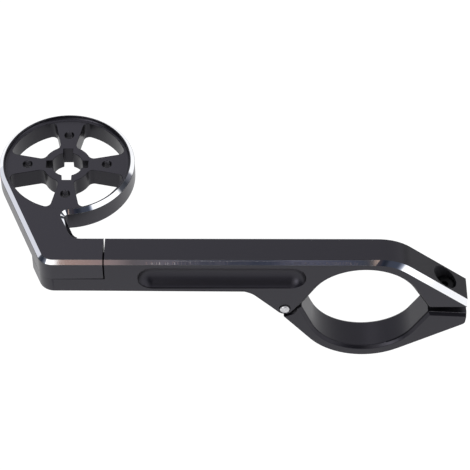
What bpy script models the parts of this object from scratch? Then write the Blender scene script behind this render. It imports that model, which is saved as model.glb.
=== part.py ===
"""Bike computer mount: a milled arm that reaches forward from a handlebar clamp.

The origin is the centre of the bore in the arm's half of the clamp, midway across the arm.
X runs along the arm towards the clamp's lips, Y runs along the handlebar and Z is up.
The lower jaw hangs on its hinge pin a few degrees open, with its bolt on the first threads.
"""

import math

import bmesh
import bpy
from mathutils import Vector

MM = 0.001

# Fits between pieces
SLIDE_GAP = 0.2 * MM
THREAD_GAP = 0.3 * MM
SEAM_GAP = 0.43 * MM

# Arm
ARM_WIDTH = 10.0 * MM
ARM_DEPTH = 12.4 * MM
ARM_REACH = 55.04 * MM
UNDERSIDE_FILLET = 9.5 * MM
UNDERSIDE_SLOPE = math.radians(48)
EDGE_WIDTH = 1.2 * MM
EDGE_DEPTH = 1.15 * MM
SLOPE_EDGE_DEPTH = 1.6 * MM
SLOPE_ANGLE = math.radians(39.9)
SLOPE_BEND_RADIUS = 14.0 * MM

# Side pockets, cut with a ball-nosed cutter along both sides of the arm
POCKET_FROM_SEAM = 9.08 * MM
POCKET_FROM_BORE = 0.74 * MM
POCKET_DROP = 6.8 * MM
POCKET_CUTTER_RADIUS = 4.8 * MM
POCKET_DEPTH = 2.8 * MM

# Clamp
BORE_RADIUS = 15.9 * MM
BORE_FLARE = math.radians(29)
WALL_ON_TOP = 3.77 * MM
WALL_UNDER_SLOPE = 4.8 * MM
BORE_EDGE_WIDTH = 0.85 * MM
BORE_EDGE_DEPTH = 0.8 * MM
UPPER_LIP_Z = 0.17 * MM
LIP_END_HEIGHT = 2.1 * MM
FLARE_CORNER_RISE = 0.4 * MM
CORNER_FLAT = 0.1 * MM

# Lower jaw, given in its closed position
JAW_REST_ANGLE = math.radians(3.5)
JAW_BORE_X = 0.5 * MM
JAW_BORE_DROP = 1.43 * MM
JAW_FLARE = math.radians(25.3)
JAW_CORNER_FLAT = 0.35 * MM
JAW_LIP_Z = -0.29 * MM
JAW_LIP_EDGE = 0.8 * MM
JAW_WALL = 3.4 * MM
JAW_RISE_ANGLE = math.radians(35.8)
JAW_END_RADIUS = 1.7 * MM
JAW_END_EXTRA = 0.2 * MM

# Hinge
PIN_FROM_FLANK = 4.32 * MM
PIN_DROP = 0.63 * MM
PIN_RADIUS = 1.4 * MM
PIN_STAND_OUT = 0.6 * MM
PIN_END_CHAMFER = 0.25 * MM
EYE_RADIUS = 2.4 * MM
EYE_WIDTH = 3.6 * MM
CHEEK_CLEARANCE = 1.2 * MM
SLOT_CLEARANCE = 1.6 * MM

# Clamp bolt
BOLT_FROM_END = 6.65 * MM
BOLT_RADIUS = 1.5 * MM
BOLT_LENGTH = 6.0 * MM
BOLT_HEAD_RADIUS = 2.75 * MM
BOLT_HEAD_HEIGHT = 2.2 * MM
BOLT_SOCKET = 2.0 * MM
BOLT_SOCKET_DEPTH = 1.2 * MM
COUNTERBORE_RADIUS = 3.35 * MM
LIP_UNDER_HEAD = 2.0 * MM

# Head plate
HEAD_THICKNESS = 7.2 * MM
HEAD_RADIUS = 19.6 * MM
HEAD_CLEAR_OF_ARM = 8.6 * MM
HEAD_BOTTOM_EDGE = 0.3 * MM
NECK_WIDTH = 11.9 * MM
NECK_LEAN = math.radians(22.8)
FOOT_REACH = 13.94 * MM
FOOT_CORNER_RADIUS = 4.6 * MM
NECK_FILLET = 2.6 * MM
CROOK_FILLET = 1.0 * MM
LIP_WIDTH = 0.3 * MM
RECESS_DEPTH = 1.2 * MM
RECESS_FILLET = 0.9 * MM
WINDOW_INSET = 0.95 * MM
WINDOW_OUTER_FILLET = 1.6 * MM
WINDOW_INNER_FILLET = 1.8 * MM
SPOKES = 4
SPOKE_WIDTH_AT_HUB = 4.2 * MM
SPOKE_FLARE = math.radians(12.4)
HUB_RADIUS = 6.9 * MM
HUB_BORE_RADIUS = 4.5 * MM
NOTCH_WIDTH = 2.8 * MM
NOTCH_REACH = 6.1 * MM
SPOKE_HOLE_RADIUS = 1.4 * MM
SPOKE_HOLE_CIRCLE = 11.5 * MM
SPOKE_SEAT_RADIUS = 2.4 * MM
SPOKE_SEAT_DEPTH = 3.4 * MM

# Lap joint between the arm and the head plate
LAP_GAP = 0.2 * MM
TONGUE_BACK_RADIUS = 1.2 * MM
LAP_SCREW_INSET = 5.3 * MM
LAP_SCREW_RADIUS = 1.5 * MM
LAP_SCREW_HEAD_RADIUS = 2.75 * MM
LAP_SCREW_LENGTH = 8.6 * MM
LAP_SCREW_SOCKET = 2.0 * MM
LAP_SCREW_SOCKET_DEPTH = 1.1 * MM

# Fineness of curves
ARC_STEP = math.radians(5)
DISC_STEP = math.radians(3)
ROUND_SEGMENTS = 32
CUT_PAST = 3.0 * MM

BLACK_ANODISED = (0.045, 0.043, 0.050, 1.0)
BLACK_OXIDE = (0.020, 0.020, 0.022, 1.0)
BRIGHT_STEEL = (0.62, 0.62, 0.64, 1.0)

HALF_WIDTH = ARM_WIDTH / 2
ARM_TOP = BORE_RADIUS + WALL_ON_TOP
ARM_BOTTOM = ARM_TOP - ARM_DEPTH
FLANK_X = BORE_RADIUS / math.cos(BORE_FLARE)
PIN_X = -FLANK_X - PIN_FROM_FLANK
PIN_Z = -PIN_DROP
SLOPE_RISE = ARM_TOP * math.cos(SLOPE_ANGLE)
SLOPE_BEND_X = (BORE_RADIUS + WALL_UNDER_SLOPE - SLOPE_RISE) / math.sin(SLOPE_ANGLE)
LIP_END_X = SLOPE_BEND_X + (ARM_TOP - UPPER_LIP_Z - LIP_END_HEIGHT) / math.tan(SLOPE_ANGLE)
BOLT_X = LIP_END_X - BOLT_FROM_END
ARM_SHOULDER_X = -FLANK_X - ARM_REACH
POCKET_LEFT_X = ARM_SHOULDER_X + POCKET_FROM_SEAM
POCKET_RIGHT_X = -BORE_RADIUS - POCKET_FROM_BORE
HEAD_BOTTOM = ARM_TOP - HEAD_THICKNESS
TONGUE_TOP = HEAD_BOTTOM - LAP_GAP
HEAD_END_X = ARM_SHOULDER_X - SEAM_GAP
COUNTERBORE_FLOOR = UPPER_LIP_Z + LIP_UNDER_HEAD
JAW_OUTER_RADIUS = BORE_RADIUS + JAW_WALL


def polar(angle, radius=1.0):
    return Vector((math.cos(angle), math.sin(angle))) * radius


def arc(centre, radius, start, end, step=ARC_STEP):
    """Points along an arc, both ends included."""
    count = max(2, math.ceil(abs(end - start) / step - 1e-6))
    sweep = end - start
    return [centre + polar(start + sweep * i / count, radius) for i in range(count + 1)]


def tangent_angle_from(point, centre, radius, side):
    """Angle on a circle of the tangent point seen from an outside point."""
    offset = point - centre
    spread = math.acos(radius / offset.length)
    return math.atan2(offset.y, offset.x) + side * spread


JAW_BORE = Vector((JAW_BORE_X, -JAW_BORE_DROP))
PIN = Vector((PIN_X, PIN_Z))
NECK_SIDE = math.pi + NECK_LEAN
NECK_NORMAL = polar(NECK_SIDE)
FOOT_CORNER = Vector((HEAD_END_X - FOOT_REACH, FOOT_CORNER_RADIUS - HALF_WIDTH))
NECK_LINE = NECK_NORMAL.dot(FOOT_CORNER) + FOOT_CORNER_RADIUS
HEAD_Y = HALF_WIDTH + HEAD_CLEAR_OF_ARM + HEAD_RADIUS
HEAD_X = (NECK_LINE - HEAD_RADIUS - NECK_NORMAL.y * HEAD_Y) / NECK_NORMAL.x
HEAD = Vector((HEAD_X, HEAD_Y))


def clear_scene():
    for item in list(bpy.data.objects):
        bpy.data.objects.remove(item, do_unlink=True)


def material(name, colour, roughness, metallic):
    made = bpy.data.materials.new(name)
    made.use_nodes = True
    shader = made.node_tree.nodes["Principled BSDF"]
    shader.inputs["Base Color"].default_value = colour
    shader.inputs["Roughness"].default_value = roughness
    shader.inputs["Metallic"].default_value = metallic
    made.diffuse_color = colour
    return made


def mesh_object(name, mesh_data, finish=None):
    mesh = bpy.data.meshes.new(name)
    mesh_data.to_mesh(mesh)
    mesh_data.free()
    mesh.shade_smooth()
    mesh.set_sharp_from_angle(angle=math.radians(20))
    if finish:
        mesh.materials.append(finish)
    made = bpy.data.objects.new(name, mesh)
    bpy.context.collection.objects.link(made)
    return made


def loft(rings):
    """A closed solid through rings of as many points each, capped at both ends."""
    made = bmesh.new()
    rows = [[made.verts.new(point) for point in ring] for ring in rings]
    count = len(rows[0])
    for lower, upper in zip(rows, rows[1:]):
        for i in range(count):
            j = (i + 1) % count
            made.faces.new((lower[i], lower[j], upper[j], upper[i]))
    made.faces.new(list(reversed(rows[0])))
    made.faces.new(rows[-1])
    bmesh.ops.recalc_face_normals(made, faces=made.faces)
    return made


def prism(outline, low, high):
    """A plan outline pulled up from one height to another."""
    return loft([[(p.x, p.y, z) for p in outline] for z in (low, high)])


def turned(profile, place=(0, 0, 0), segments=ROUND_SEGMENTS):
    """A profile of (radius, height) points spun about a vertical axis, closed at both ends."""
    made = bmesh.new()
    x, y, z = place
    rows = []
    for radius, height in profile:
        if radius == 0:
            rows.append([made.verts.new((x, y, z + height))] * segments)
            continue
        spokes = [2 * math.pi * i / segments for i in range(segments)]
        row = [(x + radius * math.cos(a), y + radius * math.sin(a), z + height) for a in spokes]
        rows.append([made.verts.new(point) for point in row])
    for lower, upper in zip(rows, rows[1:]):
        for i in range(segments):
            j = (i + 1) % segments
            corners = [lower[i], lower[j], upper[j], upper[i]]
            made.faces.new(list(dict.fromkeys(corners)))
    for (radius, height), row in zip((profile[0], profile[-1]), (rows[0], rows[-1])):
        if radius > 0:
            made.faces.new(row)
    bmesh.ops.recalc_face_normals(made, faces=made.faces)
    return made


def cylinder(radius, low, high, place, segments=ROUND_SEGMENTS):
    x, y = place
    return turned([(radius, low), (radius, high)], (x, y, 0), segments)


def lay_along_y(mesh_data):
    """Turn a solid made about Z so that its axis runs along Y."""
    for vertex in mesh_data.verts:
        x, y, z = vertex.co
        vertex.co = (x, z, -y)


def join_parts(parts):
    """Several separate solids in one mesh."""
    joined = bmesh.new()
    for part in parts:
        copied = {}
        for vertex in part.verts:
            copied[vertex] = joined.verts.new(vertex.co)
        for face in part.faces:
            joined.faces.new([copied[vertex] for vertex in face.verts])
        part.free()
    return joined


def cut(target, name, mesh_data, operation="DIFFERENCE"):
    """Cut or trim a piece with a hidden tool that stays on its modifier."""
    tool = mesh_object(name, mesh_data)
    tool.hide_render = True
    tool.display_type = "WIRE"
    tool.parent = target.parent
    boolean = target.modifiers.new(name, "BOOLEAN")
    boolean.operation = operation
    boolean.solver = "EXACT"
    boolean.object = tool
    return tool


def offset_outline(points, depths):
    """Move each side of a counterclockwise outline inwards by its own depth."""
    count = len(points)
    moved = []
    for i in range(count):
        before = points[i] - points[i - 1]
        after = points[(i + 1) % count] - points[i]
        normal_before = Vector((-before.y, before.x)).normalized()
        normal_after = Vector((-after.y, after.x)).normalized()
        shift_before = depths[i - 1]
        shift_after = depths[i]
        turn = normal_before.x * normal_after.y - normal_before.y * normal_after.x
        if abs(turn) < 1e-6:
            moved.append(points[i] + normal_after * (shift_before + shift_after) / 2)
            continue
        reach_x = (shift_before * normal_after.y - shift_after * normal_before.y) / turn
        reach_y = (shift_after * normal_before.x - shift_before * normal_after.x) / turn
        moved.append(points[i] + Vector((reach_x, reach_y)))
    return moved


def chamfered_slab(sides):
    """A side outline across the arm's width, with its own chamfer along each side.

    Each entry is a point and the depth and width of the chamfer along the side that follows it.
    """
    points = [point for point, depth, width in sides]
    widths = sorted({width for point, depth, width in sides if width > 0} | {0.0})
    rings = []
    for inwards in widths:
        depths = [depth * max(0.0, 1 - inwards / width) if width else 0.0
                  for point, depth, width in sides]
        ring = offset_outline(points, depths)
        rings.append((HALF_WIDTH - inwards, ring))
    front = [[(p.x, -y, p.y) for p in ring] for y, ring in rings]
    back = [[(p.x, y, p.y) for p in ring] for y, ring in reversed(rings)]
    return loft(front + back)


def along(points, depth=0.0, width=0.0):
    return [(point, depth, width) for point in points]


def flank_corner(bore, level, side, up, flare):
    """Where a flank, tangent to the bore and flared outwards, meets a level beside it.

    It runs up from the lower half of the bore, or down from the upper half.
    """
    start = Vector((side * math.cos(flare), -up * math.sin(flare))) * BORE_RADIUS
    run = abs(level - bore.y - start.y) / math.cos(flare)
    return bore + start + Vector((side * run * math.sin(flare), up * run * math.cos(flare)))


def flat_end(corner, flare, flat):
    """Where the flat left of a chamfered corner ends, so the chamfer runs out on it."""
    return corner - Vector((BORE_EDGE_DEPTH / math.cos(flare) + flat, 0))


def slope_line_z(x):
    """Height of the sloping top of the upper lip."""
    return ARM_TOP - (x - SLOPE_BEND_X) * math.tan(SLOPE_ANGLE)


def arm_sides():
    """The arm's side outline, counterclockwise seen from the front."""
    slope = UNDERSIDE_SLOPE
    normal = polar(math.pi + math.pi / 2 - slope)
    ear_angle = math.atan2(normal.y, normal.x)
    ear_touch = PIN + normal * EYE_RADIUS
    fillet_height = ARM_BOTTOM - UNDERSIDE_FILLET
    fillet_end_z = fillet_height + UNDERSIDE_FILLET * math.cos(slope)
    run = (fillet_end_z - ear_touch.y) / math.sin(slope)
    fillet_end_x = ear_touch.x - run * math.cos(slope)
    fillet = Vector((fillet_end_x - UNDERSIDE_FILLET * math.sin(slope), fillet_height))
    bore = Vector((0, 0))
    left_corner = flank_corner(bore, UPPER_LIP_Z + FLARE_CORNER_RISE, -1, -1, BORE_FLARE)
    right_corner = flank_corner(bore, UPPER_LIP_Z, 1, -1, BORE_FLARE)
    ear_corner = flat_end(left_corner, BORE_FLARE, CORNER_FLAT)
    ear_end = tangent_angle_from(ear_corner, PIN, EYE_RADIUS, -1)
    bend_reach = SLOPE_BEND_RADIUS * math.tan(SLOPE_ANGLE / 2)
    bend = Vector((SLOPE_BEND_X - bend_reach, ARM_TOP - SLOPE_BEND_RADIUS))
    past_left = HEAD_X - HEAD_RADIUS

    sides = along([Vector((past_left, ARM_BOTTOM))])
    sides += along(arc(fillet, UNDERSIDE_FILLET, math.pi / 2, math.pi / 2 - slope))
    sides += along(arc(PIN, EYE_RADIUS, ear_angle, ear_end) + [ear_corner])
    bore_arc = arc(bore, BORE_RADIUS, math.pi - BORE_FLARE, BORE_FLARE)
    sides += along([left_corner] + bore_arc, BORE_EDGE_DEPTH, BORE_EDGE_WIDTH)
    sides += along([right_corner])
    sides += along([Vector((LIP_END_X, UPPER_LIP_Z))])
    slope_end = Vector((LIP_END_X, slope_line_z(LIP_END_X)))
    sides += along([slope_end], SLOPE_EDGE_DEPTH, EDGE_WIDTH)
    bend_points = arc(bend, SLOPE_BEND_RADIUS, math.pi / 2 - SLOPE_ANGLE, math.pi / 2)
    for i, point in enumerate(bend_points):
        blend = i / (len(bend_points) - 1)
        depth = SLOPE_EDGE_DEPTH + (EDGE_DEPTH - SLOPE_EDGE_DEPTH) * blend
        sides.append((point, depth, EDGE_WIDTH))
    sides += along([Vector((ARM_SHOULDER_X, ARM_TOP))])
    sides += along([Vector((ARM_SHOULDER_X, TONGUE_TOP))])
    sides += along([Vector((past_left, TONGUE_TOP))])
    return sides


def head_outline(inset):
    """The head plate's outline seen from above, moved inwards by an amount."""
    left = NECK_SIDE
    right = -NECK_NORMAL
    down = polar(left + math.pi / 2)
    line = NECK_WIDTH - HEAD_RADIUS
    crook_side = line + CROOK_FILLET
    crook_run = math.sqrt((HEAD_RADIUS + CROOK_FILLET) ** 2 - crook_side ** 2)
    crook = HEAD + right * crook_side + down * crook_run
    crook_angle = math.atan2(crook.y - HEAD.y, crook.x - HEAD.x)
    elbow_y = HALF_WIDTH + NECK_FILLET
    elbow_x = HEAD.x + (line + NECK_FILLET - right.y * (elbow_y - HEAD.y)) / right.x
    elbow = Vector((elbow_x, elbow_y))

    points = [Vector((HEAD_END_X, -HALF_WIDTH + inset))]
    points += arc(FOOT_CORNER, FOOT_CORNER_RADIUS - inset, -math.pi / 2, left - 2 * math.pi)
    points += arc(HEAD, HEAD_RADIUS - inset, left, crook_angle, DISC_STEP)
    points += arc(crook, CROOK_FILLET + inset, crook_angle + math.pi, left, ARC_STEP * 2)
    points += arc(elbow, NECK_FILLET + inset, left, math.pi * 1.5, ARC_STEP * 1.5)
    points += [Vector((HEAD_END_X, HALF_WIDTH - inset))]
    return points


def tongue_outline():
    """What the arm's end keeps: the foot's corner and lean, and everything right of them."""
    left = NECK_SIDE
    corner = FOOT_CORNER
    back_y = HALF_WIDTH - TONGUE_BACK_RADIUS
    reach = NECK_LINE - TONGUE_BACK_RADIUS
    back = Vector(((reach - NECK_NORMAL.y * back_y) / NECK_NORMAL.x, back_y))
    far = LIP_END_X + CUT_PAST
    points = [Vector((far, -HALF_WIDTH - CUT_PAST)), Vector((corner.x, -HALF_WIDTH - CUT_PAST))]
    points += arc(corner, FOOT_CORNER_RADIUS, -math.pi / 2, left - 2 * math.pi)
    points += arc(back, TONGUE_BACK_RADIUS, left, math.pi / 2)
    points += [Vector((back.x, HALF_WIDTH + CUT_PAST)), Vector((far, HALF_WIDTH + CUT_PAST))]
    return points


def lap_screw_places():
    """The two screws under the foot, along the arm's middle."""
    return [Vector((HEAD_END_X - LAP_SCREW_INSET, 0)), Vector((FOOT_CORNER.x, 0))]


def pocket_cutter():
    """A ball-nosed cutter's path along each side of the arm: a rod with round ends."""
    rods = []
    radius = POCKET_CUTTER_RADIUS
    stand_off = HALF_WIDTH + radius - POCKET_DEPTH
    end_reach = math.sqrt(radius ** 2 - (radius - POCKET_DEPTH) ** 2)
    left = POCKET_LEFT_X + end_reach
    right = POCKET_RIGHT_X - end_reach
    steps = 12
    ball = [math.pi / 2 * i / steps for i in range(steps + 1)]
    profile = [(radius * math.sin(a), left - radius * math.cos(a)) for a in ball]
    profile += [(radius * math.cos(a), right + radius * math.sin(a)) for a in ball]
    profile[0] = (0, left - radius)
    profile[-1] = (0, right + radius)
    for side in (-1, 1):
        rod = turned(profile, segments=64)
        for vertex in rod.verts:
            x, y, z = vertex.co
            vertex.co = (z, y + side * stand_off, ARM_TOP - POCKET_DROP - x)
        bmesh.ops.recalc_face_normals(rod, faces=rod.faces)
        rods.append(rod)
    return join_parts(rods)


def pin_bore():
    bore = cylinder(PIN_RADIUS + SLIDE_GAP, -HALF_WIDTH - CUT_PAST, HALF_WIDTH + CUT_PAST, (0, 0))
    lay_along_y(bore)
    return bore


def countersunk_hole():
    """A clearance hole for a lap screw, with a seat for its head in the arm's underside."""
    gap = SLIDE_GAP
    sink = LAP_SCREW_HEAD_RADIUS - LAP_SCREW_RADIUS
    mouth = ARM_BOTTOM + SLIDE_GAP
    inner = LAP_SCREW_RADIUS + gap
    outer = LAP_SCREW_HEAD_RADIUS + gap
    return [(outer, ARM_BOTTOM - CUT_PAST), (outer, mouth),
            (inner, mouth + sink), (inner, TONGUE_TOP + CUT_PAST)]


def make_arm(finish):
    arm = mesh_object("arm", chamfered_slab(arm_sides()), finish)
    trim = prism(tongue_outline(), -BORE_RADIUS, ARM_TOP + CUT_PAST)
    cut(arm, "arm_end_trim", trim, "INTERSECT")
    cut(arm, "arm_pocket_cutter", pocket_cutter())

    slot = cylinder(EYE_RADIUS + SLOT_CLEARANCE, -EYE_WIDTH / 2 - SLIDE_GAP,
                    EYE_WIDTH / 2 + SLIDE_GAP, (0, 0), 48)
    lay_along_y(slot)
    bmesh.ops.translate(slot, verts=slot.verts, vec=(PIN_X, 0, PIN_Z))
    cut(arm, "arm_hinge_slot", slot)
    bore = pin_bore()
    bmesh.ops.translate(bore, verts=bore.verts, vec=(PIN_X, 0, PIN_Z))
    cut(arm, "arm_pin_bore", bore)

    above = ARM_TOP + CUT_PAST
    below = UPPER_LIP_Z - CUT_PAST
    hole = BOLT_RADIUS + THREAD_GAP
    stepped = [(hole, below), (hole, COUNTERBORE_FLOOR),
               (COUNTERBORE_RADIUS, COUNTERBORE_FLOOR), (COUNTERBORE_RADIUS, above)]
    cut(arm, "arm_bolt_hole", turned(stepped, (BOLT_X, 0, 0), 48))
    holes = [turned(countersunk_hole(), (p.x, p.y, 0)) for p in lap_screw_places()]
    cut(arm, "arm_lap_holes", join_parts(holes))
    return arm


def window_outline(turn):
    """One see-through window between two flaring spokes, round the hub and inside the rim."""
    outer = HEAD_RADIUS - EDGE_DEPTH - LIP_WIDTH - WINDOW_INSET
    lean = SPOKE_FLARE
    side = polar(lean + math.pi / 2)
    run = polar(lean)
    hub_point = Vector((HUB_RADIUS, SPOKE_WIDTH_AT_HUB / 2))
    offset = side.dot(hub_point)
    quarter = 2 * math.pi / SPOKES

    def fillet_centre(radius, reach):
        away = offset + radius
        return side * away + run * math.sqrt(reach ** 2 - away ** 2)

    inner = fillet_centre(WINDOW_INNER_FILLET, HUB_RADIUS + WINDOW_INNER_FILLET)
    rim = fillet_centre(WINDOW_OUTER_FILLET, outer - WINDOW_OUTER_FILLET)
    inner_angle = math.atan2(inner.y, inner.x)
    rim_angle = math.atan2(rim.y, rim.x)
    to_spoke = lean - math.pi / 2
    centre = Vector((0, 0))

    half = arc(inner, WINDOW_INNER_FILLET, inner_angle - math.pi, to_spoke, ARC_STEP * 2)
    half += arc(rim, WINDOW_OUTER_FILLET, to_spoke, rim_angle, ARC_STEP * 2)
    middle = quarter / 2
    half += arc(centre, outer, rim_angle, middle, DISC_STEP)[1:]
    mirror = [mirrored(point, middle) for point in reversed(half[:-1])]
    hub = arc(centre, HUB_RADIUS, quarter - inner_angle, inner_angle)[1:-1]
    outline = half + mirror + hub
    return [rotated(point, turn) for point in outline]


def mirrored(point, angle):
    axis = polar(angle)
    return axis * (2 * axis.dot(point)) - point


def rotated(point, angle):
    c = math.cos(angle)
    s = math.sin(angle)
    return Vector((c * point.x - s * point.y, s * point.x + c * point.y))


def hub_outline():
    """The hub's bore with a square notch towards each spoke."""
    half = NOTCH_WIDTH / 2
    meet = math.asin(half / HUB_BORE_RADIUS)
    quarter = 2 * math.pi / SPOKES
    points = []
    for i in range(SPOKES):
        turn = i * quarter
        points.append(rotated(Vector((NOTCH_REACH, -half)), turn))
        points.append(rotated(Vector((NOTCH_REACH, half)), turn))
        points += arc(Vector((0, 0)), HUB_BORE_RADIUS, turn + meet, turn + quarter - meet)
    return points


def make_head_plate(finish):
    edge = HEAD_BOTTOM_EDGE
    levels = [(HEAD_BOTTOM, edge), (HEAD_BOTTOM + edge, 0.0),
              (ARM_TOP - EDGE_DEPTH, 0.0), (ARM_TOP, EDGE_WIDTH)]
    rings = [[(p.x, p.y, z) for p in head_outline(inset)] for z, inset in levels]
    plate = mesh_object("head_plate", loft(rings), finish)

    recess_radius = HEAD_RADIUS - EDGE_WIDTH - LIP_WIDTH
    floor = ARM_TOP - RECESS_DEPTH
    bend = Vector((recess_radius - RECESS_FILLET, floor + RECESS_FILLET))
    curve = arc(bend, RECESS_FILLET, -math.pi / 2, 0, math.radians(18))
    profile = [(p.x, p.y) for p in curve] + [(recess_radius, ARM_TOP + CUT_PAST)]
    segments = round(2 * math.pi / DISC_STEP)
    cut(plate, "head_recess_cutter", turned(profile, (HEAD_X, HEAD_Y, 0), segments))

    low = HEAD_BOTTOM - CUT_PAST
    high = ARM_TOP + CUT_PAST
    through = []
    for i in range(SPOKES):
        turn = 2 * math.pi * i / SPOKES
        window = [HEAD + point for point in window_outline(turn)]
        through.append(prism(window, low, high))
        hole = HEAD + polar(turn, SPOKE_HOLE_CIRCLE)
        seat = HEAD_BOTTOM + SPOKE_SEAT_DEPTH
        stepped = [(SPOKE_SEAT_RADIUS, low), (SPOKE_SEAT_RADIUS, seat),
                   (SPOKE_HOLE_RADIUS, seat), (SPOKE_HOLE_RADIUS, high)]
        through.append(turned(stepped, (hole.x, hole.y, 0), 24))
    through.append(prism([HEAD + point for point in hub_outline()], low, high))
    cut(plate, "head_window_cutter", join_parts(through))

    blind_top = ARM_BOTTOM + LAP_SCREW_LENGTH + 3 * SLIDE_GAP
    radius = LAP_SCREW_RADIUS + SLIDE_GAP
    holes = [cylinder(radius, low, blind_top, p) for p in lap_screw_places()]
    cut(plate, "head_screw_holes", join_parts(holes))
    return plate


def hex_cutter(across, low, high, place):
    return cylinder(across / 2 / math.cos(math.pi / 6), low, high, place, 6)


def make_lap_screw(index, place, finish):
    low = ARM_BOTTOM + SLIDE_GAP
    sink = LAP_SCREW_HEAD_RADIUS - LAP_SCREW_RADIUS
    top = low + LAP_SCREW_LENGTH
    tip = LAP_SCREW_RADIUS * 0.75
    profile = [(LAP_SCREW_HEAD_RADIUS, low), (LAP_SCREW_RADIUS, low + sink),
               (LAP_SCREW_RADIUS, top - (LAP_SCREW_RADIUS - tip)), (tip, top)]
    screw = mesh_object(f"head_screw_{index}", turned(profile, (place.x, place.y, 0)), finish)
    socket = hex_cutter(LAP_SCREW_SOCKET, low - CUT_PAST, low + LAP_SCREW_SOCKET_DEPTH, place)
    cut(screw, f"head_screw_socket_{index}", socket)
    return screw


def jaw_sides():
    """The lower jaw's side outline in its closed position, counterclockwise from the front."""
    gap = JAW_BORE - PIN
    spread = math.acos((JAW_OUTER_RADIUS - EYE_RADIUS) / gap.length)
    lean = math.atan2(gap.y, gap.x) + math.pi + spread
    rise = -math.pi / 2 + JAW_RISE_ANGLE
    rise_start = JAW_BORE + polar(rise, JAW_OUTER_RADIUS)
    end_x = LIP_END_X + JAW_END_EXTRA
    end_centre_x = end_x - JAW_END_RADIUS
    end_line = polar(rise).dot(rise_start) - JAW_END_RADIUS
    end_centre_z = (end_line - polar(rise).x * end_centre_x) / polar(rise).y
    end_centre = Vector((end_centre_x, end_centre_z))
    left_corner = flank_corner(JAW_BORE, JAW_LIP_Z, -1, 1, JAW_FLARE)
    right_corner = flank_corner(JAW_BORE, JAW_LIP_Z, 1, 1, JAW_FLARE)
    eye_corner = flat_end(left_corner, JAW_FLARE, JAW_CORNER_FLAT)
    top = tangent_angle_from(eye_corner, PIN, EYE_RADIUS, 1)

    sides = along(arc(PIN, EYE_RADIUS, top, lean))
    sides += along(arc(JAW_BORE, JAW_OUTER_RADIUS, lean, rise + 2 * math.pi))
    sides += along(arc(end_centre, JAW_END_RADIUS, rise, 0))
    sides += along([Vector((end_x, JAW_LIP_Z))], JAW_LIP_EDGE, JAW_LIP_EDGE)
    bore_arc = arc(JAW_BORE, BORE_RADIUS, -JAW_FLARE, JAW_FLARE - math.pi)
    sides += along([right_corner] + bore_arc, BORE_EDGE_DEPTH, BORE_EDGE_WIDTH)
    sides += along([left_corner, eye_corner])
    return sides


def make_lower_jaw(finish):
    """The jaw, with its origin on the hinge pin's axis."""
    hinge = bpy.data.objects.new("jaw_hinge", None)
    bpy.context.collection.objects.link(hinge)
    hinge.location = (PIN_X, 0, PIN_Z)
    hinge.rotation_euler = (0, JAW_REST_ANGLE, 0)
    body = chamfered_slab(jaw_sides())
    bmesh.ops.translate(body, verts=body.verts, vec=(-PIN_X, 0, -PIN_Z))
    jaw = mesh_object("lower_jaw", body, finish)
    jaw.parent = hinge

    cheeks = []
    for side in (-1, 1):
        inner = side * EYE_WIDTH / 2
        outer = side * (HALF_WIDTH + CUT_PAST)
        cheek = cylinder(EYE_RADIUS + CHEEK_CLEARANCE, min(inner, outer), max(inner, outer),
                         (0, 0), 72)
        lay_along_y(cheek)
        cheeks.append(cheek)
    cut(jaw, "jaw_cheek_cutter", join_parts(cheeks))
    cut(jaw, "jaw_pin_bore", pin_bore())
    low = -BORE_RADIUS - JAW_WALL
    thread = cylinder(BOLT_RADIUS + THREAD_GAP, low, CUT_PAST, (BOLT_X - PIN_X, 0))
    cut(jaw, "jaw_thread_hole", thread)
    return jaw


def make_hinge_pin(finish):
    half = HALF_WIDTH + PIN_STAND_OUT
    edge = PIN_END_CHAMFER
    profile = [(PIN_RADIUS - edge, -half), (PIN_RADIUS, edge - half),
               (PIN_RADIUS, half - edge), (PIN_RADIUS - edge, half)]
    body = turned(profile)
    lay_along_y(body)
    pin = mesh_object("hinge_pin", body, finish)
    pin.location = (PIN_X, 0, PIN_Z)
    return pin


def make_clamp_bolt(finish):
    """A socket head bolt that stands in the counterbore, with its origin on its own axis."""
    seat = COUNTERBORE_FLOOR + SLIDE_GAP
    tip = BOLT_RADIUS * 0.75
    edge = 0.25 * MM
    profile = [(tip, -BOLT_LENGTH), (BOLT_RADIUS, BOLT_RADIUS - tip - BOLT_LENGTH),
               (BOLT_RADIUS, 0), (BOLT_HEAD_RADIUS, 0), (BOLT_HEAD_RADIUS, BOLT_HEAD_HEIGHT - edge),
               (BOLT_HEAD_RADIUS - edge, BOLT_HEAD_HEIGHT)]
    bolt = mesh_object("clamp_bolt", turned(profile), finish)
    bolt.location = (BOLT_X, 0, seat)
    top = BOLT_HEAD_HEIGHT
    socket = cut(bolt, "bolt_socket_cutter",
                 hex_cutter(BOLT_SOCKET, top - BOLT_SOCKET_DEPTH, top + CUT_PAST, (0, 0)))
    socket.location = bolt.location
    return bolt


def main():
    clear_scene()
    make_arm(material("arm_black_anodised", BLACK_ANODISED, 0.5, 0.6))
    make_head_plate(material("head_black_anodised", BLACK_ANODISED, 0.5, 0.6))
    make_lower_jaw(material("jaw_black_anodised", BLACK_ANODISED, 0.5, 0.6))
    make_hinge_pin(material("pin_steel", BRIGHT_STEEL, 0.25, 1.0))
    make_clamp_bolt(material("bolt_black_oxide", BLACK_OXIDE, 0.4, 1.0))
    for index, place in enumerate(lap_screw_places(), start=1):
        oxide = material(f"head_screw_oxide_{index}", BLACK_OXIDE, 0.4, 1.0)
        make_lap_screw(index, place, oxide)


main()
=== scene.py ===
"""Bike computer mount: finishes, fine edges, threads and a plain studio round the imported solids."""

import math

import bmesh
import bpy
from mathutils import Matrix, Vector


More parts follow.
